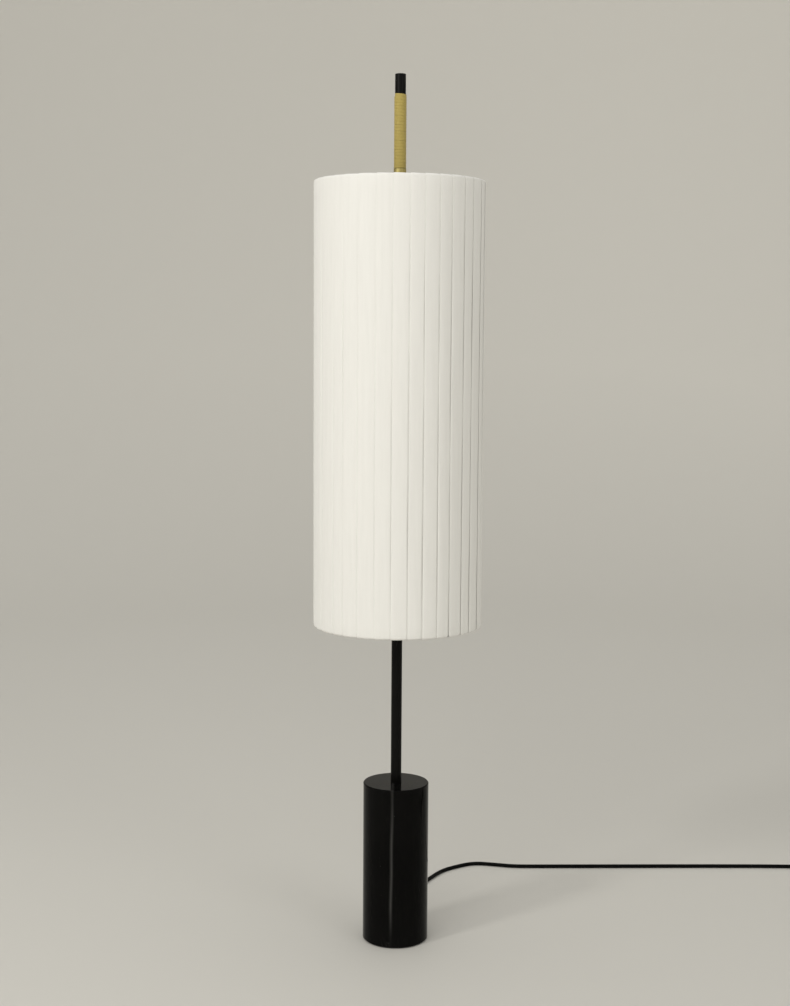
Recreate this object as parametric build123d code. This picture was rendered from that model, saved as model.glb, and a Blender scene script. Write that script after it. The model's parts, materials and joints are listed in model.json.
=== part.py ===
from build123d import *
import math
import os

# A tall floor lamp: marble foot, slim stem, ribbon shade, corded handle, mains lead with foot switch.
# Millimetres. It stands on z = 0 with its stem on the z axis. Its front faces -y.

# Overall sizes
total_height = 1450.0
handle_rise = 171.5
shade_height = 734.0
shade_d = 282.0
base_d = 111.0
base_top = 273.5
stem_d = 18.0

# Marble foot and what holds the stem to it
base_edge = 1.2
felt_thick = 1.5
felt_inset = 3.0
stem_socket_depth = 25.0
tie_rod_d = 10.0
tie_rod_bore = 7.8
rod_hole_d = 11.0
recess_d = 56.0
recess_depth = 45.0
washer_d = 48.0
washer_thick = 3.0
nut_across = 17.0
nut_thick = 8.0
rod_below_nut = 3.5
rod_short_of_insert = 2.0

# Where the lead leaves the marble
exit_z = 12.0
gland_d = 11.6
gland_flange_d = 15.0
gland_flange_thick = 2.0
gland_relief = 26.0
gland_inside = 2.0

# Stem
stem_wall = 1.5
insert_length = 30.0
stud_d = 10.0
stud_length = 22.0
lead_hole_d = 5.2
thread_runout = 2.0

# Handle
cap_length = 31.0
cap_d = 17.8
cap_round = 1.0
cap_spigot = 12.0
band_width = 4.5
band_thick = 1.0
band_gap = 0.5
band_turns = 23
ferrule_height = 16.0
ferrule_thick = 1.3
ferrule_edge = 0.4

# Shade frame and ribbon
ribbon_count = 34
ribbon_thick = 0.8
ribbon_step_gap = 0.2
ribbon_overlap = 3.0
hem_depth = 12.0
ring_wire_d = 5.0
strut_wire_d = 4.0
strut_count = 6
arm_wire_d = 5.0
arm_count = 3
hub_d = 34.0
hub_thick = 6.0
hub_below_hem = 3.0
guide_d = 28.0
guide_height = 14.0
arm_root = 3.0

# Lampholders and bulbs
holder_count = 3
holder_above_hem = 80.5
holder_spacing = 180.0
holder_reach = 52.0
holder_arm_thick = 3.0
holder_arm_width = 16.0
holder_d = 39.0
holder_cap_height = 19.0
holder_body_height = 38.0
holder_wall = 2.0
holder_rib = 1.0
holder_ribs = 3
holder_ribs_below_rim = 14.0
holder_floor_thick = 3.0
collar_d = 30.0
collar_height = 12.0
collar_below_arm = 4.0
set_screw_d = 4.0
set_screw_sunk = 0.5
nipple_d = 10.0
nipple_bore = 4.4
nipple_nut_across = 14.0
nipple_nut_thick = 3.0
nipple_below_nut = 2.0
bulb_cap_d = 26.6
bulb_cap_height = 26.0
bulb_contact_d = 9.0
bulb_contact_height = 1.5
bulb_cap_taper = 7.0
bulb_neck_d = 29.0
bulb_d = 60.0
bulb_shoulder_r = 40.0
bulb_neck_length = 4.0
inner_lead_d = 6.0
inner_lead_bend = 18.0
holder_lead_d = 3.0
holder_lead_drop = 14.0
holder_lead_bend = 12.0

# Mains lead
cord_d = 7.0
coil_r = 47.0
coil_turns = 5
coil_gap = 0.5
coil_lift = 1.0
tie_thick = 0.7
tie_width = 10.0
tie_air = 0.3
tie_round = 2.0

# Foot switch
switch_length = 86.0
switch_width = 38.0
switch_top = 24.0
switch_split_gap = 0.1
switch_wall = 2.4
switch_floor = 1.8
switch_round = 8.0
switch_inner_round = 2.8
switch_foot_round = 1.2
switch_relief = 24.0
switch_neck = 6.0
button_skirt = 4.0
button_hollow = 5.0
switch_axis_z = 6.5
button_d = 24.0
button_proud = 4.0
button_travel = 2.5
button_flange = 1.2
button_flange_thick = 2.0
button_air = 0.3
button_round = 1.6
button_dish = 0.8
button_dish_r = 60.0
spring_pocket_air = 2.0
spring_d = 10.0
spring_wire_d = 1.0
spring_turns = 4
screw_offset_x = 11.0
screw_offset_y = 24.0
screw_d = 2.8
screw_head_d = 5.6
screw_head_thick = 2.0
screw_head_sunk = 0.3
screw_post_d = 6.4
screw_bite = 12.0

# Plug
plug_width = 35.0
plug_thick = 13.7
plug_length = 36.0
plug_rear_width = 14.0
plug_relief = 26.0
plug_round = 2.5
pin_d = 4.0
pin_length = 19.0
pin_spacing = 19.0
pin_root = 8.0
pin_round = 1.2

# Clearances
fit = 0.05
seat_air = 0.25
loose_fit = 0.2
cut_over = 1.0
relief_base_d = 11.0
relief_tip_d = 8.6
relief_neck_d = 7.6
relief_grip_d = 9.2
relief_grooves = 4
relief_groove_depth = 0.8

# The lead's route from the gland to the foot switch, as its corner points
switch_x = 832.0
switch_near_tip_y = 165.0
switch_y = switch_near_tip_y + switch_relief + switch_length / 2
gland_tip_y = base_d / 2 + gland_flange_thick + gland_relief
run_points = [
    (0.0, gland_tip_y, exit_z),
    (0.0, 112.0, exit_z),
    (9.0, 160.0, 7.0),
    (33.0, 219.0, 4.2),
    (60.0, 272.0, 3.5),
    (88.0, 325.0, 3.5),
    (118.0, 350.0, 3.5),
    (152.0, 371.0, 3.5),
    (190.0, 364.5, 3.5),
    (228.0, 354.3, 3.5),
    (275.0, 355.0, 3.5),
    (791.0, 367.9, 3.5),
    (817.0, 352.9, 4.2),
    (switch_x, 327.0, switch_axis_z),
    (switch_x, switch_y + switch_length / 2 + switch_relief, switch_axis_z),
]
coil_low_z = coil_lift + cord_d / 2
coil_high_z = coil_low_z + cord_d + coil_gap
coil_y = 111.0
link_points = [
    (switch_x, switch_near_tip_y, switch_axis_z),
    (switch_x, 148.0, switch_axis_z),
    (switch_x, 133.0, coil_low_z),
    (switch_x, coil_y + cord_d, coil_low_z),
]
plug_tip_y = 32.0
plug_axis_z = plug_thick / 2
tail_points = [
    (switch_x, coil_y - cord_d, coil_high_z),
    (switch_x, 84.0, coil_high_z),
    (switch_x, 54.0, plug_axis_z),
    (switch_x, plug_tip_y, plug_axis_z),
]

# Radii and heights worked out from the sizes above
shade_top = total_height - handle_rise
shade_low = shade_top - shade_height
base_r = base_d / 2
stem_r = stem_d / 2
stem_bore_r = stem_r - stem_wall
stem_low = base_top - stem_socket_depth
hub_top = shade_top - hem_depth - hub_below_hem
hub_low = hub_top - hub_thick
stem_top = hub_low
cap_low = total_height - cap_length
band_pitch = band_width + band_gap
winding_top = cap_low - band_gap / 2
winding_low = winding_top - band_turns * band_pitch - band_width
shade_r = shade_d / 2
ribbon_step = ribbon_thick + ribbon_step_gap
ribbon_pitch_angle = 360.0 / ribbon_count
ribbon_visible = math.radians(ribbon_pitch_angle) * shade_r
ribbon_width = ribbon_visible + ribbon_overlap
ribbon_tilt = math.degrees(math.atan(ribbon_step / ribbon_visible))
ribbon_mid_r = shade_r - ribbon_width / 2 * math.tan(math.radians(ribbon_tilt))
ribbon_inner_r = 2 * ribbon_mid_r - shade_r - ribbon_thick
ring_r = ribbon_inner_r - seat_air - ring_wire_d / 2
lip_r = ring_r - ring_wire_d / 2 - ribbon_step / 2 - seat_air
top_ring_z = shade_top - ribbon_thick - seat_air - ring_wire_d / 2
low_ring_z = shade_low + ribbon_thick + seat_air + ring_wire_d / 2
guide_mid = shade_low + hem_depth + hub_below_hem + guide_height / 2
holder_angles = [90.0 + 360.0 * i / holder_count for i in range(holder_count)]
holder_levels = [shade_low + holder_above_hem + holder_spacing * i for i in range(holder_count)]
recess_top = felt_thick + recess_depth
washer_low = recess_top - washer_thick
nut_low = washer_low - nut_thick
rod_low = nut_low - rod_below_nut

STAND = (Align.CENTER, Align.CENTER, Align.MIN)


def rod(d, low, high):
    """A plain round bar on the z axis between two heights."""
    return Pos(0, 0, low) * Cylinder(d / 2, high - low, align=STAND)


def turned(points):
    """A turned piece about the z axis, from its closed (radius, height) outline."""
    return revolve(Plane.XZ * make_face(Polyline(*points, close=True)), axis=Axis.Z)


def hex_nut(across, bore, low, high):
    """A six-sided nut on the z axis."""
    blank = extrude(RegularPolygon(across / 2, 6, major_radius=False), high - low)
    return Pos(0, 0, low) * blank - rod(bore, low, high)


def relief_outline(length, base_dia, tip_dia):
    """The (radius, height) steps of a tapered strain relief with grooves round it."""
    points = [(0.0, 0.0)]
    step = length / (2 * relief_grooves + 1)
    for i in range(2 * relief_grooves + 1):
        near = base_dia / 2 + (tip_dia - base_dia) / 2 * i * step / length
        far = base_dia / 2 + (tip_dia - base_dia) / 2 * (i + 1) * step / length
        cut = relief_groove_depth if i % 2 else 0.0
        points.append((near - cut, i * step))
        points.append((far - cut, (i + 1) * step))
    points.append((0.0, length))
    return points


def relief(length, base_dia, tip_dia):
    """A strain relief that stands up from z = 0 and narrows to its tip."""
    return turned(relief_outline(length, base_dia, tip_dia))


def tube_path(points):
    """Straight runs joined by tangent arcs, each as large as its two runs allow."""
    corners = [Vector(*p) for p in points]
    radii = []
    for i in range(1, len(corners) - 1):
        before = corners[i] - corners[i - 1]
        after = corners[i + 1] - corners[i]
        half_turn = math.radians(before.get_angle(after)) / 2
        radii.append(0.45 * min(before.length, after.length) / math.tan(half_turn))
    return FilletPolyline(*corners, radius=radii), radii


def swept_round(path, d):
    """A round bar of diameter d along a path."""
    start = path @ 0
    heading = path % 0
    return sweep(Plane(origin=start, z_dir=heading) * Circle(d / 2), path=path)


def lead_tube(name, points, d):
    """A free length of lead, with its radii and its volume printed."""
    path, radii = tube_path(points)
    tube = swept_round(path, d)
    expected = math.pi * d * d / 4 * path.length
    print(name, "length", round(path.length, 1), "volume ratio", round(tube.volume / expected, 4))
    print(name, "radii", [round(r) for r in radii])
    return tube


def biarc(start, start_way, end, end_way):
    """Two tangent arcs between two points with a given heading at each."""
    across = end - start
    ways = start_way + end_way
    a = 2 * (start_way.dot(end_way) - 1)
    b = -2 * across.dot(ways)
    c = across.dot(across)
    if abs(a) < 1e-9:
        reach = -c / b
    else:
        reach = (-b - math.sqrt(b * b - 4 * a * c)) / (2 * a)
    first_corner = start + start_way * reach
    second_corner = end - end_way * reach
    middle = (first_corner + second_corner) * 0.5
    middle_way = (second_corner - first_corner).normalized()
    return [
        TangentArc(start, middle, tangent=start_way),
        TangentArc(middle, end, tangent=middle_way),
    ]


def turns_path(place, count, per_turn, square=None):
    """Biarcs through a winding that place(turn) gives as a point, per_turn of them to a turn.

    square is the heading that both ends are turned to, where something meets them.
    """
    step = 1e-4
    places = [i / per_turn for i in range(round(count * per_turn) + 1)]
    ways = [(place(turn + step) - place(turn - step)).normalized() for turn in places]
    if square:
        ways[0] = square
        ways[-1] = square
    edges = []
    for i in range(len(places) - 1):
        edges += biarc(place(places[i]), ways[i], place(places[i + 1]), ways[i + 1])
    return edges


def least_gap(place, count, thick):
    """The least distance between different turns of a winding, measured on points."""
    per_turn = 48
    points = [place(i / per_turn) for i in range(count * per_turn + 1)]
    least = min(
        (points[i] - points[j]).length
        for i in range(len(points))
        for j in range(i + per_turn // 2, min(len(points), i + 5 * per_turn // 2))
    )
    return least - thick


def marble_base():
    block = rod(base_d, felt_thick, base_top)
    block = chamfer(block.edges().filter_by(GeomType.CIRCLE), base_edge)
    block -= rod(stem_d + 2 * loose_fit, stem_low, base_top)
    block -= rod(rod_hole_d, felt_thick, base_top)
    block -= rod(recess_d, felt_thick, recess_top)
    cable_hole = Rot(-90, 0, 0) * rod(gland_d + 2 * fit, 0, base_r + base_edge)
    return block - Pos(0, 0, exit_z) * cable_hole


def base_felt_pad():
    return rod(base_d - 2 * felt_inset, 0, felt_thick)


def tie_rod():
    high = stem_low + insert_length - rod_short_of_insert
    return rod(tie_rod_d, rod_low, high) - rod(tie_rod_bore, rod_low, high)


def base_washer():
    return rod(washer_d, washer_low, recess_top) - rod(tie_rod_d + 2 * loose_fit, washer_low, recess_top)


def base_nut():
    return hex_nut(nut_across, tie_rod_d + 2 * fit, nut_low, washer_low)


def cable_gland():
    barrel = rod(gland_d, recess_d / 2 - gland_inside, base_r + fit)
    flange = rod(gland_flange_d, base_r + fit, base_r + gland_flange_thick)
    sleeve = Pos(0, 0, base_r + gland_flange_thick) * relief(gland_relief, relief_base_d, relief_tip_d)
    return Pos(0, 0, exit_z) * Rot(-90, 0, 0) * (barrel + flange + sleeve)


def inner_lead():
    top = holder_levels[-1] - holder_lead_drop + inner_lead_d
    start = (0, recess_d / 2 - gland_inside, exit_z)
    path = FilletPolyline(start, (0, 0, exit_z), (0, 0, top), radius=inner_lead_bend)
    return swept_round(path, inner_lead_d)


def stem_tube():
    tube = rod(stem_d, stem_low, stem_top) - rod(2 * stem_bore_r, stem_low, stem_top)
    for angle, level in zip(holder_angles, holder_levels):
        hole = Rot(0, 90, 0) * rod(lead_hole_d, 0, stem_r + cut_over)
        tube -= Rot(0, 0, angle) * Pos(0, 0, level - holder_lead_drop) * hole
    return tube


def stem_foot_insert():
    high = stem_low + insert_length
    plug = rod(2 * (stem_bore_r - fit), stem_low, high)
    return plug - rod(tie_rod_d + 2 * fit, stem_low, high)


def stem_top_stud():
    plug = rod(2 * (stem_bore_r - fit), stem_top - insert_length, stem_top)
    return plug + rod(stud_d, stem_top, hub_top + stud_length)


def handle_core():
    core = rod(stem_d, hub_top, cap_low)
    core -= rod(stud_d + 2 * fit, hub_top, hub_top + stud_length + thread_runout)
    return core - rod(stud_d + 2 * fit, cap_low - cap_spigot - thread_runout, cap_low)


def band_place(turn):
    """A point on the middle of the wound band after so many turns, from its top end down."""
    r = stem_r + fit + band_thick / 2
    a = 2 * math.pi * turn
    return Vector(r * math.sin(a), r * math.cos(a), winding_low + band_width / 2 + band_pitch * turn)


def handle_winding():
    """A flat band in one unbroken length: the sides of one swept turn, repeated up the handle."""
    start = band_place(0)
    end = band_place(1)
    outward = Vector(start.X, start.Y, 0).normalized()
    section = Plane(origin=start, x_dir=outward, z_dir=outward.cross(Vector(0, 0, 1)))
    axis_line = Edge.make_line((0, 0, start.Z), (0, 0, end.Z))
    path = Wire(turns_path(band_place, 1, 2))
    turn = sweep(section * Rectangle(band_thick, band_width), path=path, binormal=axis_line)
    ends = turn.faces().filter_by(GeomType.PLANE).sort_by(Axis.Z)
    sides = turn.faces() - ends
    skin = [ends[0], Pos(0, 0, band_pitch * (band_turns - 1)) * ends[-1]]
    for number in range(band_turns):
        skin += [Pos(0, 0, band_pitch * number) * side for side in sides]
    band = Solid(Shell(skin))
    length = path.length * band_turns
    print("handle_winding length", round(length, 1), "volume ratio",
          round(band.volume / (length * band_width * band_thick), 4))
    print("handle_winding least gap", round(least_gap(band_place, band_turns, band_width), 2))
    return band


def handle_ferrule():
    low = winding_low - band_gap - ferrule_height
    high = winding_low - band_gap
    ring = rod(stem_d + 2 * ferrule_thick, low, high)
    ring = chamfer(ring.edges().filter_by(GeomType.CIRCLE), ferrule_edge)
    return ring - rod(stem_d + 2 * fit, low, high)


def handle_cap():
    head = rod(cap_d, cap_low, total_height)
    head = fillet(head.edges().filter_by(GeomType.CIRCLE).sort_by(Axis.Z)[-1], cap_round)
    return head + rod(stud_d, cap_low - cap_spigot, cap_low)


def frame_ring(z):
    return Pos(0, 0, z) * Torus(ring_r, ring_wire_d / 2)


def shade_strut(index):
    angle = holder_angles[0] + 360.0 * index / strut_count
    wire = rod(strut_wire_d, low_ring_z + ring_wire_d / 2, top_ring_z - ring_wire_d / 2)
    return Rot(0, 0, angle) * Pos(ring_r, 0, 0) * wire


def spider_arms(z, from_r):
    """Arms from a hub out to every second upright wire."""
    to_r = ring_r - strut_wire_d / 2 - fit
    arm = Pos(0, 0, z) * Rot(0, 90, 0) * rod(arm_wire_d, from_r, to_r)
    return [Rot(0, 0, holder_angles[0] + 360.0 * i / arm_count) * arm for i in range(arm_count)]


def top_spider():
    hub = rod(hub_d, hub_low, hub_top)
    for arm in spider_arms((hub_low + hub_top) / 2, hub_d / 2 - arm_root):
        hub += arm
    return hub - rod(stud_d + 2 * loose_fit, hub_low, hub_top)


def bottom_spider():
    low = guide_mid - guide_height / 2
    high = guide_mid + guide_height / 2
    ring = rod(guide_d, low, high)
    for arm in spider_arms(guide_mid, guide_d / 2 - arm_root):
        ring += arm
    return ring - rod(stem_d + 2 * loose_fit, low, high)


def curved_plate(outer_r, thick, width):
    """The plan of a strip that follows the frame, in the middle of its width on the x axis."""
    half = width / 2 / outer_r
    ends = [(math.cos(half), math.sin(half)), (math.cos(half), -math.sin(half))]
    inner_r = outer_r - thick
    outer = [(outer_r * x, outer_r * y) for x, y in ends]
    inner = [(inner_r * x, inner_r * y) for x, y in ends]
    edges = [
        ThreePointArc(outer[1], (outer_r, 0), outer[0]),
        Line(outer[0], inner[0]),
        ThreePointArc(inner[0], (inner_r, 0), inner[1]),
        Line(inner[1], outer[1]),
    ]
    return make_face(edges)


def ribbon_strip():
    """One pass of the ribbon: down the outside, turned over both rings to a short lip inside."""
    wall = extrude(curved_plate(ribbon_mid_r, ribbon_thick, ribbon_width), shade_top - shade_low)
    strip = Pos(0, 0, shade_low) * wall
    hem_width = ribbon_visible - 2 * ribbon_step_gap
    over = ribbon_mid_r - ribbon_thick / 2
    turn_over = extrude(curved_plate(over, over - lip_r + ribbon_thick, hem_width), ribbon_thick)
    lip = extrude(curved_plate(lip_r, ribbon_thick, hem_width), hem_depth)
    strip += Pos(0, 0, shade_top - ribbon_thick) * turn_over
    strip += Pos(0, 0, shade_top - hem_depth) * lip
    strip += Pos(0, 0, shade_low) * turn_over
    strip += Pos(0, 0, shade_low) * lip
    return Pos(ribbon_mid_r, 0, 0) * Rot(0, 0, ribbon_tilt) * Pos(-ribbon_mid_r, 0, 0) * strip


def shade_ribbon():
    """All the strips, each with its left edge outside and its right edge under the next."""
    strip = ribbon_strip()
    first = -90.0 + ribbon_pitch_angle / 2
    copies = [Rot(0, 0, first + ribbon_pitch_angle * i) * strip for i in range(ribbon_count)]
    return Compound(children=copies)


def at_holder(index, shape):
    """A lampholder piece, made at level zero on the x axis, moved to its own arm."""
    return Rot(0, 0, holder_angles[index]) * Pos(0, 0, holder_levels[index]) * shape


def holder_arm():
    collar = rod(collar_d, -collar_below_arm, collar_height - collar_below_arm)
    mid = (collar_height - 2 * collar_below_arm) / 2
    bar = Pos((stem_r + holder_reach) / 2, 0, holder_arm_thick / 2) * Box(
        holder_reach - stem_r, holder_arm_width, holder_arm_thick
    )
    end = Pos(holder_reach, 0, 0) * rod(holder_arm_width, 0, holder_arm_thick)
    arm = collar + bar + end
    arm -= rod(stem_d + 2 * fit, -collar_below_arm, collar_height)
    arm -= Pos(holder_reach, 0, 0) * rod(nipple_d + 2 * fit, 0, holder_arm_thick)
    return arm - Pos(0, 0, mid) * Rot(0, -90, 0) * rod(set_screw_d + 2 * fit, stem_r, collar_d / 2 + cut_over)


def arm_screws():
    mid = (collar_height - 2 * collar_below_arm) / 2
    screw = Pos(0, 0, mid) * Rot(0, -90, 0) * rod(set_screw_d, stem_r + fit, collar_d / 2 - set_screw_sunk)
    return Compound(children=[at_holder(i, screw) for i in range(holder_count)])


def holder_nuts():
    nut = hex_nut(nipple_nut_across, nipple_d + 2 * fit, -nipple_nut_thick - fit, -fit)
    nut = Pos(holder_reach, 0, 0) * nut
    return Compound(children=[at_holder(i, nut) for i in range(holder_count)])


def lampholder_cap():
    low = holder_arm_thick + fit
    high = holder_arm_thick + holder_cap_height
    r = holder_d / 2
    outline = [
        (nipple_bore / 2, -nipple_nut_thick - nipple_below_nut),
        (nipple_d / 2, -nipple_nut_thick - nipple_below_nut),
        (nipple_d / 2, low),
        (nipple_d, low),
        (r * 0.82, low + holder_cap_height * 0.35),
        (r, low + holder_cap_height * 0.75),
        (r, high),
        (r - holder_wall, high),
        (r - holder_wall, low + holder_cap_height * 0.8),
        (nipple_d, low + holder_floor_thick),
        (nipple_bore / 2, low + holder_floor_thick),
    ]
    return Pos(holder_reach, 0, 0) * turned(outline)


def lampholder_body():
    low = holder_arm_thick + holder_cap_height + fit
    high = low + holder_body_height
    r = holder_d / 2
    socket_r = bulb_cap_d / 2 + loose_fit
    socket_low = high - bulb_cap_height - loose_fit
    rib = holder_rib
    outline = [(0, low), (r - holder_wall, low), (r, low + holder_wall)]
    for i in range(holder_ribs):
        z = high - holder_ribs_below_rim + 4 * rib * i
        outline += [(r, z), (r + rib, z + rib), (r + rib, z + 2 * rib), (r, z + 3 * rib)]
    outline += [(r - rib, high), (socket_r, high), (socket_r, socket_low), (0, socket_low)]
    return Pos(holder_reach, 0, 0) * turned(outline)


def socket_floor():
    """The height of the socket's floor above the arm's level."""
    return holder_arm_thick + holder_cap_height + fit + holder_body_height - bulb_cap_height - loose_fit


def bulb_cap():
    low = socket_floor() + loose_fit
    r = bulb_cap_d / 2
    outline = [
        (0, low),
        (bulb_contact_d / 2, low),
        (bulb_contact_d / 2 + 1, low + bulb_contact_height),
        (r * 0.85, low + bulb_cap_taper * 0.7),
        (r, low + bulb_cap_taper),
        (r, low + bulb_cap_height),
        (0, low + bulb_cap_height),
    ]
    return Pos(holder_reach, 0, 0) * turned(outline)


def bulb_globe():
    low = socket_floor() + loose_fit + bulb_cap_height + fit
    neck_r = bulb_neck_d / 2
    globe_r = bulb_d / 2
    shoulder_x = neck_r + bulb_shoulder_r
    rise = math.sqrt((globe_r + bulb_shoulder_r) ** 2 - shoulder_x ** 2)
    neck_high = low + bulb_neck_length
    centre = neck_high + rise
    share = globe_r / (globe_r + bulb_shoulder_r)
    joint = (shoulder_x * share, centre - rise * share)
    lean = math.atan2(-rise, shoulder_x) / 2
    shoulder_lean = math.pi + lean
    shoulder_mid = (
        shoulder_x + bulb_shoulder_r * math.cos(shoulder_lean),
        neck_high + bulb_shoulder_r * math.sin(shoulder_lean),
    )
    globe_mid = (globe_r * math.cos(0.4), centre + globe_r * math.sin(0.4))
    edges = [
        Line((0, low), (neck_r, low)),
        Line((neck_r, low), (neck_r, neck_high)),
        ThreePointArc((neck_r, neck_high), shoulder_mid, joint),
        ThreePointArc(joint, globe_mid, (0, centre + globe_r)),
        Line((0, centre + globe_r), (0, low)),
    ]
    return Pos(holder_reach, 0, 0) * revolve(Plane.XZ * make_face(edges), axis=Axis.Z)


def holder_lead():
    start = (inner_lead_d / 2 + 2 * fit, 0, -holder_lead_drop)
    corner = (holder_reach, 0, -holder_lead_drop)
    end = (holder_reach, 0, holder_arm_thick)
    return swept_round(FilletPolyline(start, corner, end, radius=holder_lead_bend), holder_lead_d)


def coil_place(turn):
    """The middle of the coiled lead after so many turns: in along the floor, up, and out on top."""
    half = coil_turns / 2
    step = cord_d + coil_gap
    r = coil_r - step * (half - abs(turn - half))
    climb = min(1.0, max(0.0, 2 * (turn - half) + 0.5))
    z = coil_low_z + (coil_high_z - coil_low_z) * climb * climb * (3 - 2 * climb)
    a = -2 * math.pi * turn
    return Vector(switch_x - coil_r + r * math.cos(a), coil_y + r * math.sin(a), z)


def cord_coil():
    start = coil_place(0)
    end = coil_place(coil_turns)
    ahead = Vector(0, -1, 0)
    turns = turns_path(coil_place, coil_turns, 4, ahead)
    lead_in = Line(start - ahead * cord_d, start)
    lead_out = Line(end, end + ahead * cord_d)
    path = Wire([lead_in] + turns + [lead_out])
    section = Plane(origin=path @ 0, z_dir=path % 0) * Circle(cord_d / 2)
    coil = sweep(section, path=path)
    print("cord_coil length", round(path.length, 1), "volume ratio",
          round(coil.volume / (math.pi * cord_d ** 2 / 4 * path.length), 4))
    print("cord_coil least gap", round(least_gap(coil_place, coil_turns, cord_d), 2))
    return coil


def cord_tie():
    """A flat band closed round all the turns on the coil's far side."""
    step = cord_d + coil_gap
    inner = coil_r - step * (coil_turns / 2 - 0.25) - cord_d / 2
    outer = coil_r - step * 0.25 + cord_d / 2
    sag = tie_width ** 2 / 8 / inner
    low_y = inner - sag - tie_air
    high_y = outer + tie_air
    high_z = coil_high_z + cord_d / 2 + tie_air
    hole = Rectangle(high_y - low_y, high_z - tie_thick)
    hole = fillet(hole.vertices(), tie_round)
    band = Rectangle(high_y - low_y + 2 * tie_thick, high_z)
    band = fillet(band.vertices(), tie_round + tie_thick)
    mid_z = (tie_thick + high_z) / 2
    face = band - hole
    loop = extrude(Plane.YZ * face, tie_width / 2, both=True)
    return Pos(switch_x - coil_r, coil_y + (low_y + high_y) / 2, mid_z) * loop


def switch_outline(inset):
    return Rot(0, 0, 90) * SlotOverall(switch_length - 2 * inset, switch_width - 2 * inset)


def at_switch(shape):
    return Pos(switch_x, switch_y, 0) * shape


def cord_ways():
    """Round ways through both ends of the switch for the strain reliefs."""
    way = Rot(-90, 0, 0) * rod(relief_neck_d + 2 * fit, -switch_length, switch_length)
    return Pos(0, 0, switch_axis_z) * way


def screw_places():
    return [(screw_offset_x, screw_offset_y), (-screw_offset_x, -screw_offset_y)]


def switch_base():
    shell = extrude(switch_outline(0), switch_axis_z)
    shell = fillet(shell.faces().sort_by(Axis.Z)[0].edges(), switch_foot_round)
    shell -= Pos(0, 0, switch_floor) * extrude(switch_outline(switch_wall), switch_axis_z)
    shell -= cord_ways()
    for x, y in screw_places():
        post = rod(screw_post_d + 2, 0, switch_axis_z)
        post -= rod(screw_head_d + 4 * fit, 0, screw_head_thick)
        shell = shell + Pos(x, y, 0) * post
        shell -= Pos(x, y, 0) * rod(screw_d + 4 * fit, 0, switch_axis_z)
        shell -= Pos(x, y, 0) * rod(screw_head_d + 4 * fit, 0, screw_head_thick)
    return at_switch(shell)


def switch_cover():
    low = switch_axis_z + switch_split_gap
    shell = Pos(0, 0, low) * extrude(switch_outline(0), switch_top - low)
    shell = fillet(shell.faces().sort_by(Axis.Z)[-1].edges(), switch_round)
    inside = Pos(0, 0, low) * extrude(switch_outline(switch_wall), switch_top - switch_wall - low)
    inside = fillet(inside.faces().sort_by(Axis.Z)[-1].edges(), switch_inner_round)
    posts = [Pos(x, y, 0) * rod(screw_post_d, low, switch_top - switch_wall) for x, y in screw_places()]
    for post in posts:
        inside -= post
    shell -= inside
    shell -= rod(button_d + 2 * button_air, low, switch_top)
    shell -= cord_ways()
    for x, y in screw_places():
        shell -= Pos(x, y, 0) * rod(screw_d, low, low + screw_bite)
    return at_switch(shell)


def button_under():
    """The height of the button's underside, which leaves room for its travel."""
    return switch_top - switch_wall - button_air - button_flange_thick - button_skirt


def switch_button():
    low = button_under()
    flange_high = switch_top - switch_wall - button_air
    flange = rod(button_d + 2 * button_flange, flange_high - button_flange_thick, flange_high)
    stem = rod(button_d, low, switch_top + button_proud)
    stem = fillet(stem.edges().filter_by(GeomType.CIRCLE).sort_by(Axis.Z)[-1], button_round)
    dish = Pos(0, 0, switch_top + button_proud - button_dish + button_dish_r) * Sphere(button_dish_r)
    hollow = rod(spring_d + 2 * spring_pocket_air, low, low + button_hollow)
    return at_switch(stem + flange - dish - hollow)


def spring_place(turn):
    r = spring_d / 2
    a = 2 * math.pi * turn
    low = switch_floor + spring_wire_d / 2 + fit
    high = button_under() + button_hollow - spring_wire_d / 2 - fit
    return Vector(r * math.cos(a), r * math.sin(a), low + (high - low) * turn / spring_turns)


def switch_spring():
    path = Wire(turns_path(spring_place, spring_turns, 2))
    section = Plane(origin=path @ 0, z_dir=path % 0) * Circle(spring_wire_d / 2 - fit)
    print("switch_spring least gap", round(least_gap(spring_place, spring_turns, spring_wire_d), 2))
    return at_switch(sweep(section, path=path))


def switch_screws():
    screws = []
    for x, y in screw_places():
        head = rod(screw_head_d, screw_head_sunk, screw_head_thick - fit)
        shank = rod(screw_d - 2 * fit, screw_head_thick - fit, switch_axis_z + screw_bite - cut_over)
        screws.append(at_switch(Pos(x, y, 0) * (head + shank)))
    return Compound(children=screws)


def switch_relief_piece(side):
    """The strain relief at one end of the switch: 1 at the lamp's end, -1 at the plug's end."""
    end_r = switch_width / 2 - switch_wall
    end_curve = end_r - math.sqrt(end_r ** 2 - relief_grip_d ** 2 / 4)
    neck = rod(relief_neck_d, -switch_neck, 0)
    grip = rod(relief_grip_d, -switch_neck, -switch_wall - end_curve - fit)
    sleeve = relief(switch_relief, relief_base_d, relief_tip_d)
    piece = Pos(0, 0, switch_length / 2) * (neck + grip + sleeve)
    lying = Rot(-90 * side, 0, 0) * piece
    return at_switch(Pos(0, 0, switch_axis_z) * lying)


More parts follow.
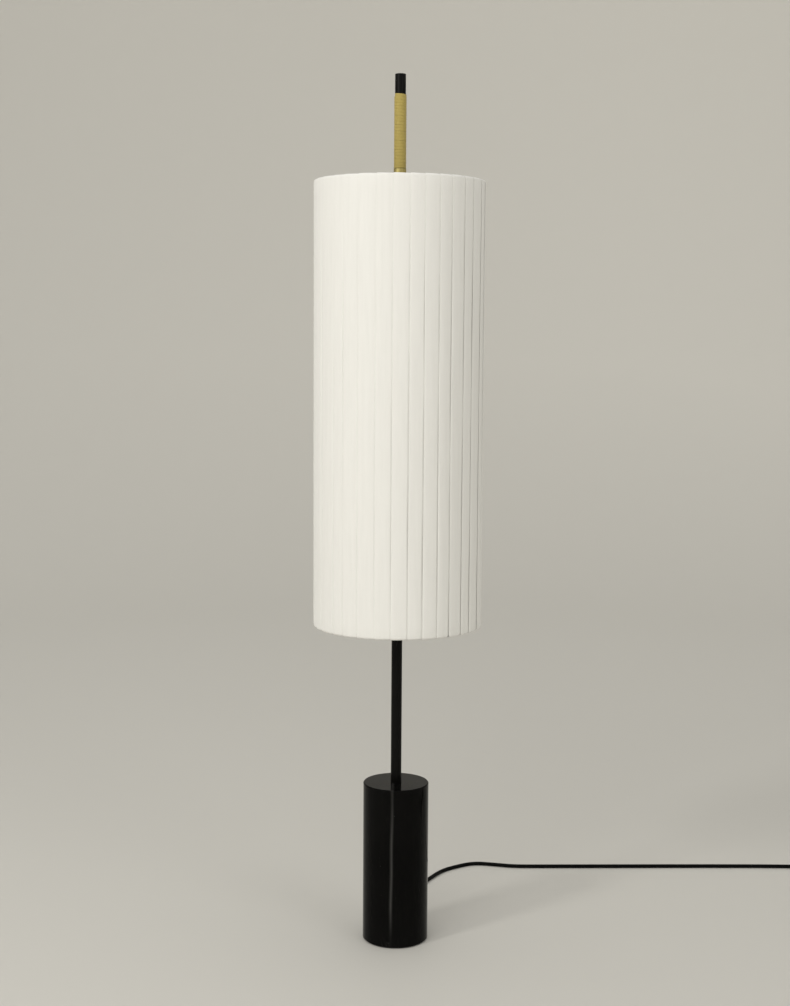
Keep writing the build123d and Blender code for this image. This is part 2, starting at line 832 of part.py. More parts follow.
def plug_body():
    """A flat two-pin plug lying on the floor, its pins towards the front, its relief moulded on."""
    back = plug_tip_y - plug_relief
    half = plug_width / 2
    rear = plug_rear_width / 2
    straight = plug_length * 0.45
    outline = [
        (-half, 0),
        (half, 0),
        (half, straight),
        (rear, plug_length),
        (-rear, plug_length),
        (-half, straight),
    ]
    body = extrude(make_face(Polyline(*outline, close=True)), plug_thick)
    body = fillet(body.edges().filter_by(Axis.Z), plug_round)
    body = fillet(body.faces().filter_by(Axis.Z).edges(), plug_round * 0.8)
    sleeve = Rot(-90, 0, 0) * relief(plug_relief, relief_base_d, relief_tip_d)
    body = Pos(0, back - plug_length, 0) * body + Pos(0, back, plug_axis_z) * sleeve
    for side in (-1, 1):
        hole = Rot(-90, 0, 0) * rod(pin_d + 2 * fit, 0, pin_root)
        body -= Pos(side * pin_spacing / 2, back - plug_length, plug_axis_z) * hole
    return Pos(switch_x, 0, 0) * body


def plug_pins():
    face = plug_tip_y - plug_relief - plug_length
    pin = rod(pin_d, -pin_length, pin_root - fit)
    pin = fillet(pin.edges().filter_by(GeomType.CIRCLE).sort_by(Axis.Z)[0], pin_round)
    lying = Pos(0, face, plug_axis_z) * Rot(-90, 0, 0) * pin
    return Compound(children=[Pos(switch_x + side * pin_spacing / 2, 0, 0) * lying for side in (-1, 1)])


def save(name, shape):
    export_step(shape, f"parts/{name}.step")


os.makedirs("parts", exist_ok=True)
save("marble_base", marble_base())
save("base_felt_pad", base_felt_pad())
save("tie_rod", tie_rod())
save("base_washer", base_washer())
save("base_nut", base_nut())
save("cable_gland", cable_gland())
save("inner_lead", inner_lead())
save("stem_tube", stem_tube())
save("stem_foot_insert", stem_foot_insert())
save("stem_top_stud", stem_top_stud())
save("handle_core", handle_core())
save("handle_winding", handle_winding())
save("handle_ferrule", handle_ferrule())
save("handle_cap", handle_cap())
save("shade_top_ring", frame_ring(top_ring_z))
save("shade_bottom_ring", frame_ring(low_ring_z))
for number in range(strut_count):
    save(f"shade_strut_{number + 1}", shade_strut(number))
save("top_spider", top_spider())
save("bottom_spider", bottom_spider())
save("shade_ribbon", shade_ribbon())
for number in range(holder_count):
    save(f"holder_arm_{number + 1}", at_holder(number, holder_arm()))
    save(f"lampholder_cap_{number + 1}", at_holder(number, lampholder_cap()))
    save(f"lampholder_body_{number + 1}", at_holder(number, lampholder_body()))
    save(f"bulb_cap_{number + 1}", at_holder(number, bulb_cap()))
    save(f"bulb_globe_{number + 1}", at_holder(number, bulb_globe()))
    save(f"holder_lead_{number + 1}", at_holder(number, holder_lead()))
save("holder_nuts", holder_nuts())
save("arm_screws", arm_screws())
save("cord_run", lead_tube("cord_run", run_points, cord_d))
save("cord_link", lead_tube("cord_link", link_points, cord_d))
save("cord_coil", cord_coil())
save("cord_tail", lead_tube("cord_tail", tail_points, cord_d))
save("cord_tie", cord_tie())
save("switch_base", switch_base())
save("switch_cover", switch_cover())
save("switch_button", switch_button())
save("switch_spring", switch_spring())
save("switch_screws", switch_screws())
save("switch_relief_lamp_side", switch_relief_piece(1))
save("switch_relief_plug_side", switch_relief_piece(-1))
save("plug_body", plug_body())
save("plug_pins", plug_pins())
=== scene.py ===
"""Looks for the floor lamp: ribbon shade, wound handle, marble foot, lead and studio set."""
import json
import math
import random

import bmesh
import bpy
from mathutils import Matrix, Vector


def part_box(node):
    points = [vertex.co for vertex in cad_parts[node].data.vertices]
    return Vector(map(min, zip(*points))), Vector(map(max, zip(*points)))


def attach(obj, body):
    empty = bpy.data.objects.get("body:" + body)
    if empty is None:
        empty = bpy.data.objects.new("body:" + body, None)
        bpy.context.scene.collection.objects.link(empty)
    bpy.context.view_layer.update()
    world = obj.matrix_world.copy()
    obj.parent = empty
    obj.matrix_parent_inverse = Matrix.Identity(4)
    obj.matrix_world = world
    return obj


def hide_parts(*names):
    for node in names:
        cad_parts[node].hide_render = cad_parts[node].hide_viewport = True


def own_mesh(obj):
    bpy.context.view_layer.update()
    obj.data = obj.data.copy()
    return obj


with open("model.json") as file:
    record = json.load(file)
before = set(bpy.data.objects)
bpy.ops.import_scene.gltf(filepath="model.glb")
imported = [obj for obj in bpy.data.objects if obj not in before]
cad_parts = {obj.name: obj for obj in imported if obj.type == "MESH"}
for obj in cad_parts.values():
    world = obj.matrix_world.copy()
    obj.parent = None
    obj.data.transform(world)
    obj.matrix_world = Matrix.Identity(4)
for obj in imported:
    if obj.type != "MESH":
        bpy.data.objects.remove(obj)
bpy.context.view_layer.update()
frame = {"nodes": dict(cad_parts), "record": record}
nodes = frame["nodes"]
LAMP = "lamp"

# Sizes in metres, as in the CAD model
CORD_D = 0.007
STEM_R = 0.009
MARBLE_EDGE = 0.0012
SOCKET_DEPTH = 0.025
RECESS_R = 0.028
RECESS_DEPTH = 0.045
ROD_HOLE_R = 0.0055
BAND_THICK = 0.001
TIE_THICK = 0.0007
RIBBON_LAP = 0.003
HEM_DEPTH = 0.012
STRIPS = 34

# The drawn ribbon, which is thinner than the CAD model's slabs and lies round the same rings
RIBBON_OUT_R = 0.1408
RIBBON_IN_R = 0.1322
RIBBON_TOP = 1.2791
RIBBON_LOW = 0.5439
RING_TOP_Z = 1.27495
RING_LOW_Z = 0.54805
RIBBON_THICK = 0.0005
RIBBON_STEP = 0.00078
HEM_CLEAR = 0.004

# Left edges of the strips in front, in degrees round the shade: 0 is the front, + is to the right.
FRONT_EDGES = [-62.1, -47.9, -39.0, -27.4, -15.1, -4.0, 7.0, 16.9, 27.3, 36.6, 47.6, 56.9, 69.5,
               80.3]

# The lead's route, corner for corner as in the CAD model
RUN_POINTS = [
    (0.0, 0.0835, 0.012), (0.0, 0.112, 0.012), (0.009, 0.160, 0.007), (0.033, 0.219, 0.0042),
    (0.060, 0.272, 0.0035), (0.088, 0.325, 0.0035), (0.118, 0.350, 0.0035), (0.152, 0.371, 0.0035),
    (0.190, 0.3645, 0.0035), (0.228, 0.3543, 0.0035), (0.275, 0.355, 0.0035),
    (0.791, 0.3679, 0.0035), (0.817, 0.3529, 0.0042), (0.832, 0.327, 0.0065),
    (0.832, 0.299, 0.0065),
]
LINK_POINTS = [
    (0.832, 0.165, 0.0065), (0.832, 0.148, 0.0065), (0.832, 0.133, 0.0045), (0.832, 0.118, 0.0045),
]
TAIL_POINTS = [
    (0.832, 0.104, 0.012), (0.832, 0.084, 0.012), (0.832, 0.054, 0.00685), (0.832, 0.032, 0.00685),
]
COIL_CENTRE = (0.785, 0.111)
COIL_R = 0.047
COIL_TURNS = 5
COIL_LOW_Z = 0.0045
COIL_HIGH_Z = 0.012
COIL_STEP = 0.0075

BLACK = (0, 0, 0)
WHITE = (1, 1, 1)
FULL_TURN = 2 * math.pi


def make_camera():
    """The photograph's camera: in front, a little above the lamp's middle, turned down a bit."""
    data = bpy.data.cameras.new("camera")
    data.sensor_width = 36.0
    data.lens = 55.86
    camera = bpy.data.objects.new("camera", data)
    bpy.context.scene.collection.objects.link(camera)
    place = (0.0, -2.5911, 1.0255)
    pitch, roll, yaw = 0.1059, 0.0064, -0.0018
    level_part = math.cos(pitch)
    ahead = Vector((math.sin(yaw) * level_part, math.cos(yaw) * level_part, -math.sin(pitch)))
    level = Vector((math.cos(yaw), -math.sin(yaw), 0.0))
    upright = level.cross(ahead)
    right = math.cos(roll) * level + math.sin(roll) * upright
    up = math.cos(roll) * upright - math.sin(roll) * level
    turn = Matrix((right, up, -ahead)).transposed()
    camera.matrix_world = Matrix.Translation(place) @ turn.to_4x4()
    bpy.context.scene.camera = camera


class Surface:
    """A principled material whose colour, gloss and relief come from node patterns."""

    def __init__(self, name, colour, roughness, metallic=0.0, **sockets):
        self.material = bpy.data.materials.new(name)
        self.material.use_nodes = True
        self.tree = self.material.node_tree
        self.shader = self.tree.nodes["Principled BSDF"]
        self.shader.inputs["Base Color"].default_value = (*colour, 1.0)
        self.shader.inputs["Roughness"].default_value = roughness
        self.shader.inputs["Metallic"].default_value = metallic
        for socket, value in sockets.items():
            self.shader.inputs[socket.replace("_", " ")].default_value = value
        self.height = None

    def node(self, kind, **settings):
        made = self.tree.nodes.new(kind)
        for key, value in settings.items():
            if key in made.inputs:
                made.inputs[key].default_value = value
            else:
                setattr(made, key, value)
        return made

    def link(self, source, target):
        self.tree.links.new(source, target)

    def place(self, kind="Object", scale=(1.0, 1.0, 1.0)):
        """Pattern coordinates, stretched by a scale for each direction."""
        coords = self.node("ShaderNodeTexCoord")
        mapping = self.node("ShaderNodeMapping", Scale=scale)
        self.link(coords.outputs[kind], mapping.inputs["Vector"])
        return mapping.outputs["Vector"]

    def noise(self, scale, detail=4.0, place=None, **settings):
        made = self.node("ShaderNodeTexNoise", Scale=scale, Detail=detail, **settings)
        self.link(place or self.place(), made.inputs["Vector"])
        return made.outputs["Fac"]

    def ramp(self, value, stops):
        made = self.node("ShaderNodeValToRGB")
        elements = made.color_ramp.elements
        while len(elements) < len(stops):
            elements.new(0.5)
        for element, (at, colour) in zip(elements, stops):
            element.position = at
            element.color = (*colour, 1.0)
        self.link(value, made.inputs["Fac"])
        return made.outputs["Color"]

    def tint(self, value, low, high, stops=(0.35, 0.65)):
        """Base colour that runs between two colours with a pattern."""
        colour = self.ramp(value, [(stops[0], low), (stops[1], high)])
        self.link(colour, self.shader.inputs["Base Color"])
        return colour

    def gloss(self, value, low, high):
        spread = self.node("ShaderNodeMapRange")
        spread.inputs["To Min"].default_value = low
        spread.inputs["To Max"].default_value = high
        self.link(value, spread.inputs["Value"])
        self.link(spread.outputs["Result"], self.shader.inputs["Roughness"])

    def relief(self, value, depth, strength=1.0):
        """Adds relief of that depth in metres, on top of what is there."""
        bump = self.node("ShaderNodeBump", Distance=depth, Strength=strength)
        self.link(value, bump.inputs["Height"])
        if self.height:
            self.link(self.height, bump.inputs["Normal"])
        self.height = bump.outputs["Normal"]
        self.link(self.height, self.shader.inputs["Normal"])

    def split(self, place):
        """The X, Y and Z of pattern coordinates, each on its own."""
        made = self.node("ShaderNodeSeparateXYZ")
        self.link(place, made.inputs["Vector"])
        return [made.outputs[i] for i in range(3)]

    def maths(self, operation, first, second=0.0):
        """A sum on two values, each a number or a node's output."""
        made = self.node("ShaderNodeMath", operation=operation)
        for socket, value in zip(made.inputs, (first, second)):
            if isinstance(value, (int, float)):
                socket.default_value = value
            else:
                self.link(value, socket)
        return made.outputs["Value"]


def marble():
    """Near-black polished marble: faint cloud, sparse pale veins, specks, and a painted highlight:
    one pale upright line on the front.
    """
    s = Surface("black_marble", (0.0015, 0.0015, 0.0014), 0.07, Specular_IOR_Level=0.045)
    cloud = s.noise(9.0, 6.0)
    warp = s.noise(5.0, 8.0, s.place(scale=(1.0, 1.0, 0.45)), Distortion=1.4)
    vein = s.ramp(warp, [(0.4955, BLACK), (0.5, WHITE), (0.5045, BLACK)])
    sparse = s.ramp(s.noise(3.0, 2.0), [(0.56, BLACK), (0.68, WHITE)])
    fleck = s.ramp(s.noise(150.0, 1.0), [(0.79, BLACK), (0.815, WHITE)])
    # Painted highlight: a pale upright line painted on the front, where it starts, how it leans and
    # sways, and how fast it fades sideways.
    highlight_start_x, highlight_lean, highlight_sway_size, highlight_sway_rate, highlight_fade = -0.0081, 0.0085, 0.0003, 62.0, 250.0
    x, y, z = s.split(s.place())
    sway = s.maths("MULTIPLY", s.maths("SINE", s.maths("MULTIPLY", z, highlight_sway_rate)), highlight_sway_size)
    middle = s.maths("ADD", s.maths("MULTIPLY", z, highlight_lean), highlight_start_x)
    off = s.maths("ABSOLUTE", s.maths("SUBTRACT", x, s.maths("ADD", middle, sway)))
    line = s.ramp(s.maths("MULTIPLY", off, highlight_fade),
                  [(0.0, WHITE), (0.4, (0.5, 0.5, 0.5)), (0.9, BLACK)])
    # The painted highlight is kept to the front half, where y is below 0.
    line = s.maths("MULTIPLY", line, s.maths("LESS_THAN", y, 0.0))
    # Painted highlight strength up the foot: faint at the bottom edge, full low down, weaker near
    # the top.
    ends = s.ramp(s.maths("MULTIPLY", z, 4.0), [(0.08, (0.1, 0.1, 0.1)), (0.3, WHITE),
                                                (0.75, (0.9, 0.9, 0.9)), (1.0, (0.45, 0.45, 0.45))])
    line = s.maths("MULTIPLY", line, s.maths("MULTIPLY", ends, 0.8))
    # Where the pale colour goes: the real veins and specks, and the painted highlight.
    veins_specks_and_highlight = s.maths("MAXIMUM", s.maths("MULTIPLY", vein, s.maths("MULTIPLY", sparse, 0.4)),
                   s.maths("MULTIPLY", fleck, 0.35))
    veins_specks_and_highlight = s.maths("MAXIMUM", veins_specks_and_highlight, line)
    body = s.ramp(cloud, [(0.3, (0.0026, 0.0026, 0.0024)), (0.7, (0.0044, 0.0043, 0.004))])
    mix = s.node("ShaderNodeMix", data_type="RGBA")
    s.link(veins_specks_and_highlight, mix.inputs["Factor"])
    s.link(body, mix.inputs[6])
    # The pale colour of the veins, the specks and the painted highlight.
    mix.inputs[7].default_value = (0.062, 0.061, 0.058, 1.0)
    s.link(mix.outputs[2], s.shader.inputs["Base Color"])
    s.gloss(s.noise(30.0, 3.0), 0.05, 0.1)
    s.relief(s.noise(22.0, 2.0), 0.00006)
    return s.material


def satin_metal(name, colour, roughness, grain=0.00001, level=0.5):
    """Stove-enamelled metal: a fine orange peel and a little unevenness in its gloss."""
    s = Surface(name, colour, roughness, Specular_IOR_Level=level)
    low = tuple(0.85 * c for c in colour)
    s.tint(s.noise(40.0, 3.0), low, colour)
    s.gloss(s.noise(60.0, 3.0), roughness - 0.05, roughness + 0.07)
    s.relief(s.noise(1800.0, 2.0), grain)
    return s.material


def bare_metal(name, colour, roughness, along=(1.0, 1.0, 12.0)):
    """Turned or drawn metal with fine tool lines."""
    s = Surface(name, colour, roughness, metallic=1.0)
    lines = s.noise(320.0, 4.0, s.place(scale=along))
    s.tint(lines, tuple(0.8 * c for c in colour), colour)
    s.gloss(lines, roughness - 0.06, roughness + 0.1)
    s.relief(lines, 0.00002)
    return s.material


def plastic(name, colour, roughness, grain=0.00004, scale=1600.0, level=0.5):
    """Moulded plastic with a fine spark-eroded grain."""
    s = Surface(name, colour, roughness, Specular_IOR_Level=level)
    speckle = s.noise(scale, 2.0)
    s.tint(s.noise(35.0, 3.0), tuple(0.86 * c for c in colour), colour)
    s.gloss(speckle, roughness - 0.05, roughness + 0.08)
    s.relief(speckle, grain)
    return s.material


def felt():
    """Pressed black felt with short fibres."""
    s = Surface("black_felt", (0.03, 0.03, 0.03), 0.95, Sheen_Weight=0.4)
    fibre = s.noise(900.0, 6.0, Distortion=2.0)
    s.tint(fibre, (0.012, 0.012, 0.012), (0.06, 0.06, 0.058))
    s.relief(fibre, 0.0004)
    return s.material


def screw_shell():
    """A bulb's cap: drawn metal with its rolled thread."""
    s = Surface("bulb_screw_shell", (0.62, 0.62, 0.61), 0.28, metallic=1.0)
    thread = s.node("ShaderNodeTexWave", Scale=88.0, bands_direction="Z", wave_profile="SIN")
    s.link(s.place(), thread.inputs["Vector"])
    s.gloss(s.noise(300.0, 3.0), 0.2, 0.36)
    s.relief(thread.outputs["Fac"], 0.0008)
    return s.material


def opal():
    """Opal glass with a soft inner glow from the light that scatters in it."""
    s = Surface("opal_glass", (0.86, 0.85, 0.82), 0.12, Subsurface_Weight=0.35,
                Subsurface_Scale=0.01)
    s.tint(s.noise(12.0, 2.0), (0.82, 0.81, 0.78), (0.88, 0.87, 0.84))
    s.gloss(s.noise(40.0, 2.0), 0.08, 0.16)
    return s.material


def woven(name, low, high, across, along, depth, roughness, **sockets):
    """A plain weave on a piece's own strip coordinates, with threads of that spacing in metres."""
    s = Surface(name, high, roughness, **sockets)
    x, y, _ = s.split(s.place("UV"))
    weft = s.maths("SINE", s.maths("MULTIPLY", y, FULL_TURN / along))
    warp = s.maths("SINE", s.maths("MULTIPLY", x, FULL_TURN / across))
    cloth = s.maths("MULTIPLY", weft, warp)
    cloth = s.maths("ADD", s.maths("MULTIPLY", cloth, 0.3), s.maths("MULTIPLY", weft, 0.2))
    cloth = s.maths("ADD", cloth, 0.5)
    streak = s.noise(160.0, 5.0, s.place("UV", (1.0, 0.06, 1.0)))
    shade = s.maths("ADD", s.maths("MULTIPLY", cloth, 0.35), s.maths("MULTIPLY", streak, 0.65))
    s.tint(shade, low, high, (0.3, 0.62))
    s.relief(cloth, depth)
    return s.material


def braid():
    """A flat braided cord: two sets of threads crossing at a slant, on the band's coordinates."""
    s = Surface("gold_braid", (0.43, 0.33, 0.09), 0.6, Sheen_Weight=0.35, Sheen_Roughness=0.35)
    x, y, _ = s.split(s.place("UV"))
    across = s.maths("MULTIPLY", x, FULL_TURN / 0.0011)
    along = s.maths("MULTIPLY", y, FULL_TURN / 0.0014)
    rising = s.maths("SINE", s.maths("ADD", across, along))
    falling = s.maths("SINE", s.maths("SUBTRACT", across, along))
    thread = s.maths("MULTIPLY", s.maths("ADD", s.maths("MULTIPLY", rising, falling), 1.0), 0.5)
    mottle = s.maths("MULTIPLY", s.noise(420.0, 4.0), 0.5)
    shade = s.maths("ADD", s.maths("MULTIPLY", thread, 0.4), mottle)
    s.tint(shade, (0.375, 0.285, 0.056), (0.49, 0.385, 0.104), (0.15, 0.7))
    s.relief(thread, 0.00008)
    return s.material


def lead_rubber():
    """The mains lead's sheath: near-black rubber with a low sheen."""
    s = Surface("lead_sheath", (0.002, 0.002, 0.002), 0.42, Specular_IOR_Level=0.05)
    s.tint(s.noise(90.0, 4.0), (0.0014, 0.0014, 0.0014), (0.003, 0.003, 0.0028))
    s.gloss(s.noise(260.0, 3.0), 0.36, 0.52)
    s.relief(s.noise(1400.0, 3.0), 0.00003)
    return s.material


def make_materials():
    """One material for each of the record's slots."""
    return {
        "marble": marble(),
        "felt": felt(),
        "steel": bare_metal("zinc_steel", (0.52, 0.52, 0.50), 0.32),
        "black_rubber": plastic("soft_relief", (0.006, 0.006, 0.006), 0.55, level=0.16),
        "black_metal": satin_metal("black_enamel", (0.003, 0.0028, 0.0024), 0.36, level=0.1),
        "cord_band": braid(),
        "aged_brass": bare_metal("aged_brass", (0.50, 0.42, 0.165), 0.5),
        "white_wire": satin_metal("white_enamel", (0.78, 0.77, 0.73), 0.4),
        "ribbon": woven("white_ribbon", (0.825, 0.818, 0.78), (0.865, 0.857, 0.82), 0.0007, 0.0009,
                        0.00005, 0.8, Sheen_Weight=0.15, Sheen_Roughness=0.6),
        "arm_metal": satin_metal("arm_enamel", (0.76, 0.75, 0.71), 0.42),
        "socket_plastic": plastic("socket_plastic", (0.74, 0.72, 0.67), 0.4),
        "bulb_shell": screw_shell(),
        "bulb_opal": opal(),
        "inner_lead": plastic("inner_lead_sheath", (0.7, 0.69, 0.66), 0.45, 0.00002),
        "mains_lead": lead_rubber(),
        "lead_tie": woven("tie_strap", (0.006, 0.006, 0.006), (0.018, 0.018, 0.018), 0.0006, 0.0008,
                          0.00015, 0.85, Specular_IOR_Level=0.2),
        "switch_plastic": plastic("switch_plastic", (0.008, 0.008, 0.008), 0.44, level=0.24),
        "button_plastic": plastic("button_plastic", (0.011, 0.011, 0.011), 0.2, 0.00001,
                                  level=0.34),
        "plug_plastic": plastic("plug_plastic", (0.008, 0.008, 0.008), 0.46, level=0.24),
        "pin_metal": bare_metal("nickel_pin", (0.66, 0.64, 0.60), 0.2, (1.0, 10.0, 1.0)),
    }


def dress(piece, slot):
    """Gives a piece its slot's material."""
    piece.data.materials.clear()
    piece.data.materials.append(materials[slot])


def mesh_piece(name, slot, points, faces, strips=None):
    """A smooth mesh piece on the lamp's body. strips gives each point its strip coordinates."""
    mesh = bpy.data.meshes.new(name)
    mesh.from_pydata(points, [], faces)
    if strips:
        layer = mesh.uv_layers.new(name="strip")
        for loop in mesh.loops:
            layer.data[loop.index].uv = strips[loop.vertex_index]
    mesh.polygons.foreach_set("use_smooth", [True] * len(mesh.polygons))
    mesh.update()
    piece = bpy.data.objects.new(name, mesh)
    bpy.context.scene.collection.objects.link(piece)
    piece.data.materials.append(materials[slot])
    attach(piece, LAMP)
    return piece


def tube_faces(rings, around, first=0):
    """The quads between rings of points, closed round and capped at both ends."""
    faces = []
    for ring in range(rings - 1):
        here = first + ring * around
        for i in range(around):
            j = (i + 1) % around
            faces.append((here + i, here + j, here + around + j, here + around + i))
    last = first + (rings - 1) * around
    faces.append(tuple(first + i for i in reversed(range(around))))
    faces.append(tuple(last + i for i in range(around)))
    return faces


def turned_faces(around, rows, closed):
    """The quads of an outline turned about the stem's axis, its rows closed into a ring or not."""
    faces = []
    for i in range(around):
        j = (i + 1) % around
        for k in range(rows if closed else rows - 1):
            m = (k + 1) % rows
            faces.append((i * rows + k, j * rows + k, j * rows + m, i * rows + m))
    return faces


def strip_edges():
    """Each strip's left edge in degrees: as photographed in front, near even round the back."""
    chance = random.Random(11)
    hidden = STRIPS - len(FRONT_EDGES)
    start = FRONT_EDGES[-1]
    span = 360.0 + FRONT_EDGES[0] - start
    widths = [1.0 + chance.uniform(-0.1, 0.1) for _ in range(hidden + 1)]
    scale = span / sum(widths)
    edges = list(FRONT_EDGES)
    for width in widths[:-1]:
        edges.append(edges[-1] + width * scale)
    return edges


def strip_path():
    """A strip's way as (radius, height, outward radius part, outward height part, length so far).

    It runs from the inside lip over the top ring, down the outside, under the bottom ring to the
    lip there.
    """
    middle = (RIBBON_OUT_R + RIBBON_IN_R) / 2
    half = (RIBBON_OUT_R - RIBBON_IN_R) / 2
    rise = RIBBON_TOP - RING_TOP_Z
    bend_steps = 10
    rows = 44

    def bend(a, ring_z):
        out = Vector((math.cos(a) / half, math.sin(a) / rise)).normalized()
        return (middle + half * math.cos(a), ring_z + rise * math.sin(a), out.x, out.y)

    path = [(RIBBON_IN_R, z, -1.0, 0.0) for z in (RIBBON_TOP - HEM_DEPTH, RING_TOP_Z - HEM_CLEAR)]
    path += [bend(math.pi * (1 - i / bend_steps), RING_TOP_Z) for i in range(bend_steps + 1)]
    for i in range(1, rows):
        path.append((RIBBON_OUT_R, RING_TOP_Z + (RING_LOW_Z - RING_TOP_Z) * i / rows, 1.0, 0.0))
    path += [bend(-math.pi * i / bend_steps, RING_LOW_Z) for i in range(bend_steps + 1)]
    path += [(RIBBON_IN_R, z, -1.0, 0.0) for z in (RING_LOW_Z + HEM_CLEAR, RIBBON_LOW + HEM_DEPTH)]
    length = 0.0
    measured = []
    for i, place in enumerate(path):
        if i:
            length += math.dist(place[:2], path[i - 1][:2])
        measured.append((*place, length))
    return measured


def across_strip(width):
    """Where a strip of that visible width has its points, in metres from its left edge."""
    right = [width - off for off in (0.0045, 0.0032, 0.0024, 0.0017, 0.0011, 0.0006, 0.0002)]
    left = [0.0, 0.0002, 0.0005, 0.001, 0.002, 0.0035, 0.006]
    gap = right[0] - left[-1]
    middle = [left[-1] + gap * i / 4 for i in range(1, 4)]
    under_next = [width + 0.0006, width + RIBBON_LAP]
    return left + middle + right + under_next


def strip_height(at, width, slack_left, slack_right, belly):
    """How far a strip's face lies off the outermost radius: a rolled left edge, a dip at right."""
    dip_width, dip_depth = 0.0032, 0.00085
    share = min(1.0, at / width)
    height = -RIBBON_STEP * share ** 1.6 + belly * math.sin(math.pi * share)
    height -= slack_left * (0.00026 * math.exp(-at / 0.0006) + 0.00022 * math.exp(-at / 0.0035))
    dip = min(1.0, max(0.0, (at - width + dip_width) / dip_width))
    return height - slack_right * dip_depth * dip * dip * (3 - 2 * dip)


def edge_slack(left, following):
    """How much a strip's left edge rolls and its right side dips, with its edges in degrees."""
    roll = 1.9 if left < -35.0 else 1.0
    if following < -35.0:
        pull = 0.95
    elif following < -10.0:
        pull = 0.55
    elif following < 0.0:
        pull = 0.8
    else:
        pull = 1.0
    return roll, pull


def make_shade():
    """One long ribbon as lapped upright strips, each one's left edge over its neighbour's right."""
    chance = random.Random(5)
    edges = strip_edges()
    path = strip_path()
    points, strips, faces = [], [], []
    # The slack fades out towards the top ring. Edge faces bulge by edge_push degrees. strip_shift
    # sets each strip's weave off from its neighbour's.
    fade_top, fade_over, least_slack = 1.262, 0.22, 0.12
    edge_push = 0.08
    strip_shift = 0.37
    for number, left in enumerate(edges):
        following = edges[number + 1] if number + 1 < len(edges) else edges[0] + 360.0
        width = math.radians(following - left) * RIBBON_OUT_R
        phase = [chance.uniform(0, FULL_TURN) for _ in range(8)]
        belly = chance.uniform(-0.00008, 0.00014)
        roll, pull = edge_slack(left, following)
        places = across_strip(width)
        first = len(points)
        for r, z, out_r, out_z, length in path:
            wander = 0.10 * math.sin(5.1 * z + phase[0]) + 0.05 * math.sin(13.0 * z + phase[1])
            slack = min(1.0, max(least_slack, (fade_top - z) / fade_over))
            slack_left = roll * slack * (0.9 + 0.35 * math.sin(8.0 * z + phase[2]))
            slack_right = pull * slack * (1.0 + 0.3 * math.sin(11.0 * z + phase[3])
                                          + 0.2 * math.sin(31.0 * z + phase[4]))
            ripple = 0.00007 * math.sin(9.0 * z + phase[5])
            ring = []
            for at in places:
                height = strip_height(at, width, slack_left, slack_right, belly)
                height += ripple * math.sin(FULL_TURN * at / width + phase[6] + 4.0 * z)
                ring.append((at, height))
            loop = ring + [(places[-1], ring[-1][1] - RIBBON_THICK / 2)]
            loop += [(at, height - RIBBON_THICK) for at, height in reversed(ring)]
            loop += [(0.0, ring[0][1] - RIBBON_THICK / 2)]
            for k, (at, height) in enumerate(loop):
                push = {len(ring): edge_push, len(loop) - 1: -edge_push}.get(k, 0.0)
                angle = math.radians(left + wander + push) + at / RIBBON_OUT_R
                radius = r + out_r * height
                points.append((radius * math.sin(angle), -radius * math.cos(angle),
                               z + out_z * height))
                strips.append((at, length + strip_shift * number))
        faces += tube_faces(len(path), 2 * len(places) + 2, first)
    shade = mesh_piece("ribbon_shade", "ribbon", points, faces, strips)
    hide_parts("shade_ribbon")
    lap = math.degrees(RIBBON_LAP / RIBBON_OUT_R)
    width = math.radians(360.0 / STRIPS + lap) * RIBBON_OUT_R


def make_winding():
    """The flat braided cord, wound up from ferrule to cap, its start cut to a long taper."""
    low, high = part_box("handle_winding")
    pitch = 0.005
    width = 0.00497
    inner = STEM_R + 0.00005
    per_turn = 72
    end_side = 1.62 * math.pi
    taper = 0.94
    thin_end, thin_steps = 0.25, 10
    sway = 0.00008
    turns = (high.z - low.z - width) / pitch
    across = [-1.0 + 2.0 * i / 10 for i in range(11)]
    section = [(x, 1.0 - 0.22 * abs(x) ** 7) for x in across] + [(1.0, 0.05), (-1.0, 0.05)]
    points, strips = [], []
    count = round((turns + taper) * per_turn)
    for step in range(count + 1):
        turn = (turns + taper) * step / count - taper
        a = end_side + FULL_TURN * turn
        middle = low.z + width / 2 + pitch * turn
        middle += sway * math.sin(2.3 * turn) * math.sin(math.pi * step / count)
        top = middle + width / 2
        bottom = max(middle - width / 2, low.z)
        flat = min(1.0, thin_end + step / thin_steps, thin_end + (count - step) / thin_steps)
        for x, y in section:
            radius = inner + BAND_THICK * flat * y
            z = bottom + (top - bottom) * (x + 1) / 2
            points.append((radius * math.sin(a), radius * math.cos(a), z))
            strips.append((x * width / 2, FULL_TURN * inner * turn))
    faces = tube_faces(count + 1, len(section))
    winding = mesh_piece("handle_cord", "cord_band", points, faces, strips)
    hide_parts("handle_winding")


